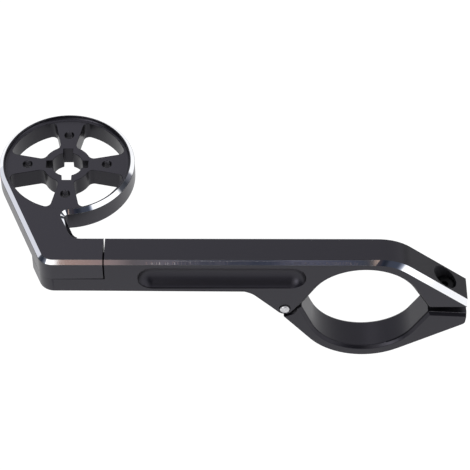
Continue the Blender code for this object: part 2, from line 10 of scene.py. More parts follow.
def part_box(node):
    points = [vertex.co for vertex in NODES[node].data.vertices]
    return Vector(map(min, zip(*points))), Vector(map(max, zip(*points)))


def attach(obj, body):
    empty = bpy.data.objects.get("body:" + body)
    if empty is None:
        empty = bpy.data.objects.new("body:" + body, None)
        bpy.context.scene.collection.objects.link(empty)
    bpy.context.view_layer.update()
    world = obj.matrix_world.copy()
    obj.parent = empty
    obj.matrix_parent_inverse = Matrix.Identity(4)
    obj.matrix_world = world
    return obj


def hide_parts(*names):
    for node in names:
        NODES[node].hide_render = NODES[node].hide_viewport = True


bl_info = {
    "name": "Bike Computer Mount Finishes",
    "version": (1, 0, 0),
    "blender": (4, 5, 0),
    "location": "3D View > Sidebar > Mount",
    "description": "Milled and anodised finishes, fine edges and threads for a bike computer mount",
    "category": "Object",
}

MM = 0.001
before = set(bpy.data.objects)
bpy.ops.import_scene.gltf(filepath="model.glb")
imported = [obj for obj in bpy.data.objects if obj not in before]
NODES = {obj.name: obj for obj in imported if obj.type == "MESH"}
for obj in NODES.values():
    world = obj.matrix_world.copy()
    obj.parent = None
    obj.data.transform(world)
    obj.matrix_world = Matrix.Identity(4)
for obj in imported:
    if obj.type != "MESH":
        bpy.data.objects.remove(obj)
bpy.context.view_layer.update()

ARM_HIGH = Vector(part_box("arm")[1])
HEAD_HIGH = Vector(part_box("head_plate")[1])
PIN_LOW, PIN_HIGH = (Vector(corner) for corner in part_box("hinge_pin"))
BOLT_LOW, BOLT_HIGH = (Vector(corner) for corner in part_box("clamp_bolt"))

# Finishes, by their place in a piece's list of materials.
PLAIN, BRIGHT = 0, 1
ARM_COUNTERBORE, ARM_LINE, ARM_SLOPE, ARM_POCKET = 2, 3, 4, 5
HEAD_WALL, HEAD_HOLE = 2, 3
JAW_LINE, JAW_BORE = 2, 3

# The arm: its top, its bright chamfer, and the slope down to the lip.
ARM_TOP = ARM_HIGH.z
HALF_WIDTH = ARM_HIGH.y
CHAMFER_REACH = 1.0 * MM
EDGE_DEPTH = 1.15 * MM
SLOPE_ANGLE = math.radians(39.9)
SLOPE_BEND_X = 8.746 * MM
BEND_START_X = 2.0 * MM
BEND_REACH = 1.75 * MM
SLOPE_FADE = (9.4 * MM, 11.6 * MM)
SLOPE_END_FADE = (14.0 * MM, 27.0 * MM)
SLOPE_END_SHARE = 0.18
# The pockets in the arm's sides: their length, and the height from which their upper half is painted
# paler, as painted light.
POCKET_SPAN = (-66.0 * MM, -20.0 * MM)
POCKET_END_X = -16.0 * MM
POCKET_SINK = 3.0 * MM
POCKET_UPPER_Z = 12.8 * MM
POCKET_FADE = (13.2 * MM, 13.9 * MM)
POCKET_LINE_END_X = -30.0 * MM
# The head plate, round its centre.
HEAD_CENTRE = Vector((-85.442, 33.2, 0)) * MM
HEAD_CHAMFER_DEPTH = 1.3 * MM
LIP_RADIUS = 18.3 * MM
INNER_RADIUS = 17.4 * MM
SPOKE_HOLE_CIRCLE = 11.5 * MM
SPOKE_HOLE_RADIUS = 1.4 * MM
# The clamp: the bolt in its counterbore, the jaw and the fine lines round the bore.
BOLT_AXIS = (BOLT_LOW + BOLT_HIGH) / 2
BOLT_SEAT_Z = 3.0 * MM
COUNTERBORE_RADIUS = 3.35 * MM
BOLT_HEAD_RADIUS = 2.75 * MM
BOLT_HEAD_SIDE = (2.37 * MM, 4.32 * MM)
KNURL_MARGIN = 0.1 * MM
THREAD_RADIUS = 1.46 * MM
THREAD_START = 0.5 * MM
THREAD_TURNS = 10.0
LIP_START_X = 13.0 * MM
JAW_BORE_CENTRE = Vector((0, 0, -1.4)) * MM
JAW_BORE_REACH = 19.0 * MM
BORE_LINE_START_X = 6.0 * MM
# The lap joint: the foot's front and left sides stand flush on the arm's tongue.
LAP_START_X = -73.1 * MM
LAP_STEP_X = -74.1 * MM
LAP_STEP_LENGTH = 0.15 * MM
LAP_SIDE_Y = 5.3 * MM
TONGUE_TOP = 12.27 * MM
FOOT_RING = 12.77 * MM
LAP_LINE = 12.455 * MM
LAP_HAIR = 0.03 * MM
LAP_EDGES = (12.2 * MM, 12.6 * MM)
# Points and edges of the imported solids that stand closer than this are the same.
SAME = 0.02 * MM
DOUBLE = 0.001 * MM
SHORTEST_EDGE = 0.09 * MM
CORNER = 0.0002 * MM
# The share of an edge's shortest neighbour that its round may take.
ROOM = 0.42
# Stretches of the arm's chamfer with chatter marks: middle and half length in mm, and strength.
CHATTER = (
    (-57.5, 4.2, 0.85),
    (-50.0, 3.8, 0.55),
    (-41.0, 3.2, 0.55),
    (-34.5, 2.6, 0.4),
    (-26.0, 4.5, 0.25),
    (-20.0, 3.4, 0.9),
    (-10.0, 7.0, 0.6),
)
# The tint of the anodised skin's reflections.
SHEEN = (0.86, 0.83, 1.0)


class Wire:
    """A shader socket that can be used in Python sums."""

    def __init__(self, graph, socket):
        self.graph = graph
        self.socket = socket

    def sum(self, operation, *values):
        inputs = dict(enumerate(values))
        return self.graph.add("ShaderNodeMath", {"operation": operation}, inputs)

    def __add__(self, other):
        return self.sum("ADD", self, other)

    def __radd__(self, other):
        return self.sum("ADD", other, self)

    def __sub__(self, other):
        return self.sum("SUBTRACT", self, other)

    def __rsub__(self, other):
        return self.sum("SUBTRACT", other, self)

    def __mul__(self, other):
        return self.sum("MULTIPLY", self, other)

    def __rmul__(self, other):
        return self.sum("MULTIPLY", other, self)

    def __truediv__(self, other):
        return self.sum("DIVIDE", self, other)

    def __rtruediv__(self, other):
        return self.sum("DIVIDE", other, self)

    def __neg__(self):
        return self.sum("MULTIPLY", self, -1.0)

    def __abs__(self):
        return self.sum("ABSOLUTE", self)

    def sine(self):
        return self.sum("SINE", self)

    def arcsine(self):
        return self.sum("ARCSINE", self)

    def root(self):
        return self.sum("SQRT", self)

    def turn_from(self, other):
        return self.sum("ARCTAN2", self, other)

    def larger(self, other):
        return self.sum("MAXIMUM", self, other)

    def rise(self, low, high):
        """0 below low, 1 above high and a smooth step between."""
        settings = {"interpolation_type": "SMOOTHSTEP"}
        return self.graph.add("ShaderNodeMapRange", settings, {0: self, 1: low, 2: high})

    def band(self, middle, half, soft):
        """1 within half of a middle value, with soft sides."""
        return 1 - abs(self - middle).rise(half - soft, half + soft)


class Graph:
    """Builds one node tree from Python expressions."""

    def __init__(self, owner):
        owner.use_nodes = True
        self.tree = owner.node_tree
        self.tree.nodes.clear()

    def add(self, kind, settings=None, inputs=None, output=0):
        """A node of a type, with its settings set first, then its inputs; gives one output."""
        node = self.tree.nodes.new(kind)
        for name, value in (settings or {}).items():
            if name == "stops":
                self.set_stops(node.color_ramp, value)
            else:
                setattr(node, name, value)
        for name, value in (inputs or {}).items():
            if isinstance(value, Wire):
                self.tree.links.new(value.socket, node.inputs[name])
            else:
                node.inputs[name].default_value = value
        return Wire(self, node.outputs[output])

    @staticmethod
    def set_stops(ramp, stops):
        while len(ramp.elements) > len(stops):
            ramp.elements.remove(ramp.elements[-1])
        while len(ramp.elements) < len(stops):
            ramp.elements.new(1.0)
        for element, (position, colour) in zip(ramp.elements, stops):
            element.position = position
            element.color = colour

    def place(self):
        return self.add("ShaderNodeTexCoord", output="Object")

    def parts(self, vector):
        node = self.add("ShaderNodeSeparateXYZ", inputs={0: vector}).socket.node
        return [Wire(self, output) for output in node.outputs]

    def point(self, x, y, z):
        return self.add("ShaderNodeCombineXYZ", inputs={0: x, 1: y, 2: z})

    def noise(self, vector, scale, detail=2.0, roughness=0.5):
        inputs = {"Vector": vector, "Scale": scale, "Detail": detail, "Roughness": roughness}
        return self.add("ShaderNodeTexNoise", {"noise_dimensions": "3D"}, inputs)

    def mix(self, factor, first, second):
        inputs = {0: factor, 6: first, 7: second}
        return self.add("ShaderNodeMix", {"data_type": "RGBA"}, inputs, output=2)

    def bump(self, height, strength, distance):
        inputs = {"Height": height, "Strength": strength, "Distance": distance}
        return self.add("ShaderNodeBump", inputs=inputs)

    def principled(self, **sockets):
        inputs = {name.replace("_", " "): value for name, value in sockets.items()}
        return self.add("ShaderNodeBsdfPrincipled", inputs=inputs)

    def surface(self, shader):
        self.add_output("ShaderNodeOutputMaterial", shader)

    def add_output(self, kind, shader):
        node = self.tree.nodes.new(kind)
        self.tree.links.new(shader.socket, node.inputs["Surface"])


def new_material(name):
    material = bpy.data.materials.new(name)
    return material, Graph(material)


def black_anodised(name, colour, roughness, gloss, slope_gloss=None, pale=None):
    """Blasted aluminium under a black anodised skin, slightly clouded.

    With slope_gloss it grows duller down the arm's slope. With pale, that paler colour is painted
    on the upper half of the pockets, as painted light for the light that part catches.
    """
    material, graph = new_material(name)
    place = graph.place()
    cloud = graph.noise(place, 90.0, 3.0, 0.55)
    grain = graph.noise(place, 5200.0, 2.0, 0.6)
    dark = tuple(value * 0.88 for value in colour) + (1.0,)
    light = tuple(value * 1.12 for value in colour) + (1.0,)
    tint = graph.mix(cloud.rise(0.3, 0.7) * 0.7 + grain.rise(0.3, 0.7) * 0.3, dark, light)
    # Painted light: a paler colour on the upper half of the pockets, for the light it catches.
    if pale is not None:
        upper = graph.parts(place)[2].rise(*POCKET_FADE)
        tint = graph.mix(upper, tint, (*pale, 1.0))
    rough = roughness + (cloud - 0.5) * 0.08 + (grain - 0.5) * 0.12
    normal = graph.bump(grain, 0.25, 0.012 * MM)
    sockets = {"Base_Color": tint, "Roughness": rough, "Normal": normal}
    sockets["Specular Tint"] = (*SHEEN, 1.0)
    surface = graph.principled(**sockets, **{"Specular IOR Level": gloss})
    if slope_gloss is not None:
        x = graph.parts(place)[0]
        down = x.rise(*SLOPE_FADE) * (1 - SLOPE_END_SHARE)
        down = down + x.rise(*SLOPE_END_FADE) * SLOPE_END_SHARE
        duller = graph.principled(**sockets, **{"Specular IOR Level": slope_gloss})
        parts = {0: down, 1: surface, 2: duller}
        surface = graph.add("ShaderNodeMixShader", inputs=parts)
    graph.surface(surface)
    return material


def bright_cut(name, colour, roughness, skin):
    """Bare aluminium left by a fly cutter: mirror bright, with chatter marks and a second cut."""
    material, graph = new_material(name)
    place = graph.place()
    x, y, z = graph.parts(place)
    fine = graph.noise(graph.point(x, y * 0.3, z * 0.3), 1900.0, 3.0, 0.7)
    near_side = 1 - abs(y + HALF_WIDTH).rise(1.2 * MM, 1.6 * MM)
    chatter = 0.0
    for middle, half, amount in CHATTER:
        chatter = x.band(middle * MM, half * MM, 1.2 * MM) * amount + chatter
    chatter = chatter * near_side
    drop = ARM_TOP - z
    low_half = drop.rise(0.34 * MM, 0.50 * MM) * drop.rise(1.02 * MM, 0.94 * MM)
    strokes = graph.noise(graph.point(x, y * 0.12, z * 0.12), 3100.0, 1.0, 0.5).rise(0.48, 0.62)
    strokes = strokes * chatter * low_half
    second_cut = drop.band(0.30 * MM, 0.05 * MM, 0.03 * MM)
    second_cut = second_cut * x.band(-38.0 * MM, 16.0 * MM, 2.0 * MM) * near_side
    lower_skin = drop.rise(EDGE_DEPTH - 0.09 * MM, EDGE_DEPTH - 0.05 * MM)
    inside = drop.rise(0.05 * MM, 0.09 * MM) * (1 - lower_skin)
    bare = inside.larger(x.rise(1.0 * MM, 2.0 * MM))
    tint = graph.mix(fine, tuple(value * 0.94 for value in colour) + (1.0,), (*colour, 1.0))
    tint = graph.mix(bare, (*skin, 1.0), tint)
    rough = roughness + fine * 0.012 + strokes * 0.06 + second_cut * 0.12
    rough = rough + (1 - bare) * 0.30
    normal = graph.bump(fine * (0.02 + chatter * 0.05 + strokes * 0.45), 0.5, 0.02 * MM)
    sockets = {"Base_Color": tint, "Metallic": bare, "Roughness": rough, "Normal": normal}
    graph.surface(graph.principled(**sockets))
    return material


def painted_edge_highlight(name, colour, roughness):
    """A painted highlight along an edge: a pale metallic line standing in for the light a rounded
    edge catches.
    """
    material, graph = new_material(name)
    wear_and_sheen = graph.noise(graph.place(), 1500.0, 3.0, 0.6).rise(0.35, 0.65)
    faint = tuple(value * 0.6 for value in colour) + (1.0,)
    tint = graph.mix(wear_and_sheen, faint, (*colour, 1.0))
    surface = graph.principled(Base_Color=tint, Metallic=0.8, Roughness=roughness + wear_and_sheen * 0.1)
    graph.surface(surface)
    return material


def turned_steel(name, colour, roughness, axis_point):
    """Bright steel with rings left by turning about an axis along Y."""
    material, graph = new_material(name)
    x, y, z = graph.parts(graph.place())
    across = x - axis_point.x
    up = z - axis_point.z
    radius = (across * across + up * up).root()
    rings = (radius * (2 * math.pi / (0.22 * MM))).sine()
    grain = graph.noise(graph.place(), 2600.0, 2.0, 0.6)
    dull = tuple(value * 0.7 for value in colour) + (1.0,)
    tint = graph.mix(grain.rise(0.35, 0.7), dull, (*colour, 1.0))
    normal = graph.bump(rings * 0.5 + grain, 0.4, 0.01 * MM)
    sockets = {"Base_Color": tint, "Metallic": 1.0, "Normal": normal}
    graph.surface(graph.principled(Roughness=roughness + grain * 0.15, **sockets))
    return material


def black_oxide(name, colour, roughness):
    """Blackened steel of screws, a little brighter where it wears."""
    material, graph = new_material(name)
    place = graph.place()
    wear_and_sheen = graph.noise(place, 700.0, 3.0, 0.6).rise(0.58, 0.75)
    grain = graph.noise(place, 4000.0, 2.0, 0.5)
    worn = tuple(min(1.0, value * 3.0) for value in colour) + (1.0,)
    tint = graph.mix(wear_and_sheen * 0.5, (*colour, 1.0), worn)
    normal = graph.bump(grain, 0.2, 0.01 * MM)
    sockets = {"Base_Color": tint, "Metallic": 0.8, "Specular IOR Level": 0.2, "Normal": normal}
    graph.surface(graph.principled(Roughness=roughness + grain * 0.1, **sockets))
    return material


def finished(mesh, name, body, slot, *replaced):
    """Gives a finished mesh its object, hangs it on its body and hides the imported solids it takes
    the place of.
    """
    piece = bpy.data.objects.new(name, mesh)
    bpy.context.collection.objects.link(piece)
    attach(piece, body)
    if replaced:
        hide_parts(*replaced)
    return piece


def plain_mesh(source):
    """The mesh of an object with its modifiers applied; the object itself is removed."""
    bpy.context.view_layer.update()
    graph = bpy.context.evaluated_depsgraph_get()
    mesh = bpy.data.meshes.new_from_object(source.evaluated_get(graph))
    spare = source.data
    bpy.data.objects.remove(source)
    if spare.users == 0:
        bpy.data.meshes.remove(spare)
    return mesh


def merged_copy(node):
    """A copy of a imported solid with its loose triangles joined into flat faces."""
    made = bmesh.new()
    made.from_mesh(NODES[node].data)
    bmesh.ops.remove_doubles(made, verts=made.verts, dist=DOUBLE)
    flat = math.radians(0.4)
    bmesh.ops.dissolve_limit(made, angle_limit=flat, verts=made.verts, edges=made.edges)
    return made


def is_arm_chamfer(face):
    """The bright chamfers along the arm's top, down the slope, on both sides."""
    middle = face.calc_center_median()
    drop = ARM_TOP - middle.z
    reach = CHAMFER_REACH
    if middle.x > SLOPE_BEND_X:
        down_slope = drop * math.cos(SLOPE_ANGLE)
        down_slope -= (middle.x - SLOPE_BEND_X) * math.sin(SLOPE_ANGLE)
        drop = min(drop, down_slope)
    if middle.x > BEND_START_X:
        reach = BEND_REACH
    tilted = 0.5 < abs(face.normal.y) < 0.9
    return tilted and face.normal.z > 0.2 and drop < reach


def is_head_chamfer(face):
    """The bright chamfer round the head plate's whole outline."""
    middle = face.calc_center_median()
    outside = (middle - HEAD_CENTRE).xy.length > LIP_RADIUS
    near_top = middle.z > HEAD_HIGH.z - HEAD_CHAMFER_DEPTH
    return outside and near_top and 0.6 < face.normal.z < 0.85


def arm_finish(face):
    """The finish of a face of the arm."""
    if is_arm_chamfer(face):
        return BRIGHT
    middle = face.calc_center_median()
    in_bore = (middle - BOLT_AXIS).xy.length < COUNTERBORE_RADIUS + 0.05 * MM
    upright = abs(face.normal.z) < 0.3
    # The counterbore takes a paler copy of the skin, as painted light.
    if in_bore and 0.0 < middle.z and (upright or middle.z < BOLT_SEAT_Z):
        return ARM_COUNTERBORE
    if face.normal.x > 0.01 and face.normal.z > 0.7 and middle.x > BEND_START_X:
        return ARM_SLOPE
    along = POCKET_SPAN[0] < middle.x < POCKET_END_X
    sunk = HALF_WIDTH - POCKET_SINK < abs(middle.y) < HALF_WIDTH - 0.01 * MM
    upper = POCKET_UPPER_Z < middle.z < ARM_TOP - EDGE_DEPTH
    return ARM_POCKET if along and sunk and upper else PLAIN


def jaw_finish(face):
    """The finish of a face of the jaw, where the wall of its bore is a little duller."""
    across = face.calc_center_median() - JAW_BORE_CENTRE
    across.y = 0.0
    inward = across.dot(face.normal) < -0.9 * across.length
    in_bore = inward and across.length < JAW_BORE_REACH and abs(face.normal.y) < 0.05
    return JAW_BORE if in_bore else PLAIN


def head_finish(face):
    """The finish of a face of the head plate, with the walls of its windows and spoke holes."""
    if is_head_chamfer(face):
        return BRIGHT
    middle = face.calc_center_median()
    upright = abs(face.normal.z) < 0.3
    if not upright or (middle - HEAD_CENTRE).xy.length > INNER_RADIUS:
        return PLAIN
    for quarter in range(4):
        turn = math.radians(90.0 * quarter)
        across = Vector((math.cos(turn), math.sin(turn), 0)) * SPOKE_HOLE_CIRCLE
        hole = middle - HEAD_CENTRE - across
        if hole.xy.length < SPOKE_HOLE_RADIUS + 0.05 * MM:
            # Painted light: the holes' front and back walls take a paler copy of the skin, for light
            # through them from below.
            return HEAD_HOLE if abs(face.normal.x) < 0.5 else HEAD_WALL
    # Painted shade: the window walls take a duller copy of the skin, for the shade they reflect from
    # under the head.
    return HEAD_WALL


def step_foot(made):
    """Cuts the foot's lower front edge twice, for a short step at the lap's open end."""
    for edge in made.edges:
        left, right = sorted(edge.verts, key=lambda vert: vert.co.x)
        level = all(abs(vert.co.z - FOOT_RING) < SAME for vert in edge.verts)
        front = edge.verts[0].co.y < 0 and abs(left.co.y - right.co.y) < SAME
        across = left.co.x < LAP_STEP_X < LAP_START_X - 0.3 * MM < right.co.x
        if level and front and across:
            share = (LAP_STEP_X - left.co.x) / (right.co.x - left.co.x)
            near = bmesh.utils.edge_split(edge, left, share)[1]
            rest = made.edges.get((near, right))
            bmesh.utils.edge_split(rest, near, LAP_STEP_LENGTH / (right.co.x - near.co.x))
            return


def close_lap(made, level, start, line):
    """Moves the ring of points at a level, left of start, to the lap's line, nearly shut."""
    for vert in made.verts:
        if vert.co.x < start and vert.co.y < LAP_SIDE_Y and abs(vert.co.z - level) < SAME:
            vert.co.z = line


def along_lap(edge):
    """The lap joint's own edges, which stay crisp."""
    first, last = (vert.co for vert in edge.verts)
    between = LAP_EDGES[0] < min(first.z, last.z) and max(first.z, last.z) < LAP_EDGES[1]
    left = max(first.x, last.x) < LAP_STEP_X + 0.1 * MM
    return between and left and max(first.y, last.y) < LAP_SIDE_Y


def bore_line(edge):
    """Where the clamp's bore meets its chamfer, towards the lips, in front."""
    if len(edge.link_faces) != 2:
        return False
    near = all(vert.co.x > BORE_LINE_START_X and vert.co.y < 0 for vert in edge.verts)
    across = any(abs(face.normal.y) < 0.05 for face in edge.link_faces)
    tilted = any(0.5 < abs(face.normal.y) < 0.9 and face.material_index == PLAIN
                 for face in edge.link_faces)
    level = any(face.normal.z > 0.9 for face in edge.link_faces)
    return near and across and tilted and not level


def lip_line(edge):
    """The front edge of the jaw's lip, where its flat top meets its chamfer."""
    if len(edge.link_faces) != 2 or min(vert.co.x for vert in edge.verts) < LIP_START_X:
        return False
    level = any(face.normal.z > 0.99 for face in edge.link_faces)
    tilted = any(0.5 < abs(face.normal.y) < 0.9 for face in edge.link_faces)
    return level and tilted


def round_pocket(edge):
    """The outline of the pockets in the arm's sides, rounded more than other edges."""
    for vert in edge.verts:
        if not POCKET_SPAN[0] < vert.co.x < POCKET_SPAN[1]:
            return False
        if abs(abs(vert.co.y) - HALF_WIDTH) > SAME:
            return False
    return any(abs(face.normal.y) < 0.98 for face in edge.link_faces)


def pocket_line(edge):
    """The lower edge of the pockets, which is given a thin dark line."""
    low = any(face.normal.z > 0.3 and abs(face.normal.y) < 0.9 for face in edge.link_faces)
    left = min(vert.co.x for vert in edge.verts) < POCKET_LINE_END_X
    return low and left and round_pocket(edge)


def dressed(node, name, body, slot, materials, finish, edges, lines=()):
    """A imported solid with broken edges, smooth shading and its finishes face by face."""
    made = merged_copy(node)
    bmesh.ops.remove_doubles(made, verts=made.verts, dist=SHORTEST_EDGE)
    if node == "arm":
        close_lap(made, TONGUE_TOP, LAP_START_X, LAP_LINE)
    elif node == "head_plate":
        step_foot(made)
        close_lap(made, FOOT_RING, LAP_STEP_X + 0.05 * MM, LAP_LINE + LAP_HAIR)
    for face in made.faces:
        face.material_index = finish(face) if finish else PLAIN
    for chosen, width, index in lines:
        thin = [edge for edge in made.edges if chosen(edge)]
        bmesh.ops.bevel(made, geom=thin, offset=width, offset_type="OFFSET", segments=2,
                        profile=0.5, affect="EDGES", clamp_overlap=False, material=index)
    for face in made.faces:
        face.smooth = True
    weight = made.edges.layers.float.new("bevel_weight_edge")
    room = {}
    for vert in made.verts:
        room[vert] = min(edge.calc_length() for edge in vert.link_edges) * ROOM
    for edge in made.edges:
        turn = edge.calc_face_angle(0.0)
        edge.smooth = turn < edges.sharp_angle
        bright = any(face.material_index == BRIGHT for face in edge.link_faces)
        if turn > edges.break_angle and not bright and not along_lap(edge):
            width = edges.pocket_width if round_pocket(edge) else edges.width
            width = min(width, *(room[vert] for vert in edge.verts))
            edge[weight] = width / edges.pocket_width
    mesh = bpy.data.meshes.new(name)
    made.to_mesh(mesh)
    made.free()
    for material in materials:
        mesh.materials.append(material)
    source = bpy.data.objects.new(name, mesh)
    bpy.context.collection.objects.link(source)
    bevel = source.modifiers.new("broken edges", "BEVEL")
    bevel.limit_method = "WEIGHT"
    bevel.width = edges.pocket_width
    bevel.segments = 2
    bevel.profile = 0.5
    bevel.use_clamp_overlap = False
    bevel.loop_slide = False
    bevel.harden_normals = False
    weld = source.modifiers.new("merged corners", "WELD")
    weld.merge_threshold = CORNER
    shade = source.modifiers.new("even shading", "WEIGHTED_NORMAL")
    shade.keep_sharp = True
    shade.weight = 50
    return finished(plain_mesh(source), name, body, slot, node)


class MountFinishes(bpy.types.PropertyGroup):
    """Colours and roughness of the mount's finishes."""

    anodised: bpy.props.FloatVectorProperty(
        name="Anodised",
        description="Colour of the black anodised skin",
        default=(0.0045, 0.0043, 0.0055),
        min=0.0,
        max=1.0,
        subtype="COLOR",
    )
    anodised_roughness: bpy.props.FloatProperty(
        name="Anodised roughness",
        description="How matte the blasted and anodised faces are",
        default=0.32,
        min=0.0,
        max=1.0,
        subtype="FACTOR",
    )
    bright: bpy.props.FloatVectorProperty(
        name="Bright cut",
        description="Colour of the bare aluminium on the cut chamfers",
        default=(0.90, 0.91, 0.94),
        min=0.0,
        max=1.0,
        subtype="COLOR",
    )
    bright_roughness: bpy.props.FloatProperty(
        name="Bright roughness",
        description="How blurred the reflections on the cut chamfers are",
        default=0.02,
        min=0.0,
        max=1.0,
        subtype="FACTOR",
    )
    pin: bpy.props.FloatVectorProperty(
        name="Pin steel",
        description="Colour of the hinge pin",
        default=(0.72, 0.72, 0.74),
        min=0.0,
        max=1.0,
        subtype="COLOR",
    )
    oxide: bpy.props.FloatVectorProperty(
        name="Black oxide",
        description="Colour of the bolt and screws",
        default=(0.012, 0.012, 0.013),
        min=0.0,
        max=1.0,
        subtype="COLOR",
    )


class MountEdges(bpy.types.PropertyGroup):
    """How the milled edges are broken."""

    width: bpy.props.FloatProperty(
        name="Edge break",
        description="Width of the small round on each milled edge",
        default=0.12 * MM,
        min=0.0,
        subtype="DISTANCE",
        unit="LENGTH",
    )
    pocket_width: bpy.props.FloatProperty(
        name="Pocket edge",
        description="Width of the round on the outline of the arm's pockets",
        default=0.3 * MM,
        min=0.0,
        subtype="DISTANCE",
        unit="LENGTH",
    )
    # The lip line is a painted highlight along the jaw's lip.
    shine: bpy.props.FloatProperty(
        name="Lip line",
        description="Width of the worn line along the jaw's lip",
        default=0.05 * MM,
        min=0.0,
        subtype="DISTANCE",
        unit="LENGTH",
    )
    bore_line: bpy.props.FloatProperty(
        name="Bore line",
        description="Width of the dark line where the bore meets its chamfer",
        default=0.24 * MM,
        min=0.0,
        subtype="DISTANCE",
        unit="LENGTH",
    )
    break_angle: bpy.props.FloatProperty(
        name="Broken above",
        description="Edges that turn more than this are rounded",
        default=math.radians(35),
        subtype="ANGLE",
        unit="ROTATION",
    )
    sharp_angle: bpy.props.FloatProperty(
        name="Sharp above",
        description="Edges that turn more than this are shaded crisp",
        default=math.radians(20),
        subtype="ANGLE",
        unit="ROTATION",
    )


class MountThreads(bpy.types.PropertyGroup):
    """The thread and the knurl of the clamp bolt."""

    pitch: bpy.props.FloatProperty(
        name="Bolt pitch",
        description="Distance between two turns of the clamp bolt's thread",
        default=0.5 * MM,
        min=0.1 * MM,
        subtype="DISTANCE",
        unit="LENGTH",
    )
    depth: bpy.props.FloatProperty(
        name="Thread depth",
        description="How far the thread's ridge stands from the shank",
        default=0.12 * MM,
        min=0.01 * MM,
        subtype="DISTANCE",
        unit="LENGTH",
    )
    rib: bpy.props.FloatProperty(
        name="Knurl depth",
        description="How far each rib stands out from the side of the bolt's head",
        default=0.12 * MM,
        min=0.01 * MM,
        subtype="DISTANCE",
        unit="LENGTH",
    )
    ribs: bpy.props.IntProperty(
        name="Knurl ribs",
        description="How many ribs go round the bolt's head",
        default=48,
        min=3,
    )


class MountStudio(bpy.types.PropertyGroup):
    """The camera, the floor and the studio's light."""

    lens: bpy.props.FloatProperty(
        name="Focal length",
        description="Focal length on a 36 mm wide sensor",
        default=160.32,
        min=1.0,
        unit="CAMERA",
    )
    distance: bpy.props.FloatProperty(
        name="Distance",
        description="Camera distance from the point it looks at",
        default=0.57247,
        min=0.01,
        subtype="DISTANCE",
        unit="LENGTH",
    )
    elevation: bpy.props.FloatProperty(
        name="Elevation",
        description="Height of the camera above the horizon",
        default=math.radians(49.546),
        subtype="ANGLE",
        unit="ROTATION",
    )
    roll: bpy.props.FloatProperty(
        name="Roll",
        description="Turn of the camera about its line of sight",
        default=math.radians(0.111),
        subtype="ANGLE",
        unit="ROTATION",
    )
    target: bpy.props.FloatVectorProperty(
        name="Target",
        description="Point that the camera looks at",
        default=(-0.03672, -0.005, 0.03169),
        subtype="TRANSLATION",
        unit="LENGTH",
    )
    floor_drop: bpy.props.FloatProperty(
        name="Floor",
        description="Height of the floor under the origin",
        default=-0.060,
        subtype="DISTANCE",
        unit="LENGTH",
    )
    floor_colour: bpy.props.FloatVectorProperty(
        name="Floor colour",
        description="Colour of the pale floor",
        default=(0.90, 0.90, 0.90),
        min=0.0,
        max=1.0,
        subtype="COLOR",
    )


def mount_materials(finishes):
    """The shared finishes, made once."""
    skin = tuple(finishes.anodised)
    rough = finishes.anodised_roughness
    known = bpy.data.materials
    if "anodised_arm" not in known:
        black_anodised("anodised_arm", skin, rough, 0.46)
        black_anodised("anodised_head", skin, rough, 0.53)
        black_anodised("anodised_slope", skin, rough, 0.46, 0.20)
        # The pockets' copy paints light on their upper half in a paler colour.
        black_anodised("anodised_pocket_painted_light", skin, rough, 0.46, pale=(0.030, 0.028, 0.033))
        black_anodised("anodised_jaw", skin, rough, 0.41)
        black_anodised("anodised_bore", skin, rough, 0.37)
        # Painted shade: a duller copy of the skin so that the window walls read darker.
        black_anodised("anodised_inside_painted_shade", skin, rough, 0.28)
        black_anodised("anodised_line", skin, rough, 0.18)
        # Painted light: a paler copy of the skin inside the counterbore, for the light that reaches
        # into it.
        black_anodised("painted_light_counterbore", (0.024, 0.024, 0.027), 0.55, 0.2)
        # Painted light: a paler copy of the skin for the spoke holes' front and back walls, for light
        # coming through from below.
        black_anodised("painted_light_bore", (0.085, 0.082, 0.095), 0.5, 0.3)
        # Painted highlight: the pale metallic line along the jaw's lip.
        painted_edge_highlight("painted_edge_highlight", (0.30, 0.30, 0.32), 0.35)
        bright_cut("bright_cut", tuple(finishes.bright), finishes.bright_roughness, skin)
        black_oxide("black_oxide", tuple(finishes.oxide), 0.38)
    return known


def started_tree(name, sizes):
    """A Geometry Nodes tree with a named input for each size; gives the tree and the inputs."""
    tree = bpy.data.node_groups.new(name, "GeometryNodeTree")
    tree.is_modifier = True
    for label, value in sizes.items():
        kind = "NodeSocketInt" if isinstance(value, int) else "NodeSocketFloat"
        socket = tree.interface.new_socket(label, in_out="INPUT", socket_type=kind)
        socket.default_value = value
    tree.interface.new_socket("Geometry", in_out="OUTPUT", socket_type="NodeSocketGeometry")
    return tree, tree.nodes.new("NodeGroupInput").outputs


def ended_tree(tree, geometry, material):
    """Makes a tree's copies real, gives them their material and ends the tree."""
    real = tree.nodes.new("GeometryNodeRealizeInstances")
    paint = tree.nodes.new("GeometryNodeSetMaterial")
    paint.inputs["Material"].default_value = material
    result = tree.nodes.new("NodeGroupOutput")
    tree.links.new(geometry, real.inputs[0])
    tree.links.new(real.outputs[0], paint.inputs["Geometry"])
    tree.links.new(paint.outputs[0], result.inputs["Geometry"])
    return tree


def thread_tree(name, material):
    """Geometry Nodes: a ridge that follows a helix round a shank."""
    sizes = {"Radius": 1.5 * MM, "Pitch": 0.5 * MM, "Turns": 6.0, "Ridge": 0.14 * MM}
    tree, given = started_tree(name, sizes)
    nodes = tree.nodes
    link = tree.links.new
    height = nodes.new("ShaderNodeMath")
    height.operation = "MULTIPLY"
    link(given["Turns"], height.inputs[0])
    link(given["Pitch"], height.inputs[1])
    spiral = nodes.new("GeometryNodeCurveSpiral")
    spiral.inputs["Resolution"].default_value = 28
    link(given["Turns"], spiral.inputs["Rotations"])
    link(given["Radius"], spiral.inputs["Start Radius"])
    link(given["Radius"], spiral.inputs["End Radius"])
    link(height.outputs[0], spiral.inputs["Height"])
    profile = nodes.new("GeometryNodeCurvePrimitiveCircle")
    profile.inputs["Resolution"].default_value = 4
    link(given["Ridge"], profile.inputs["Radius"])
    ridge = nodes.new("GeometryNodeCurveToMesh")
    ridge.inputs["Fill Caps"].default_value = True
    link(spiral.outputs[0], ridge.inputs["Curve"])
    link(profile.outputs[0], ridge.inputs["Profile Curve"])
    return ended_tree(tree, ridge.outputs[0], material)


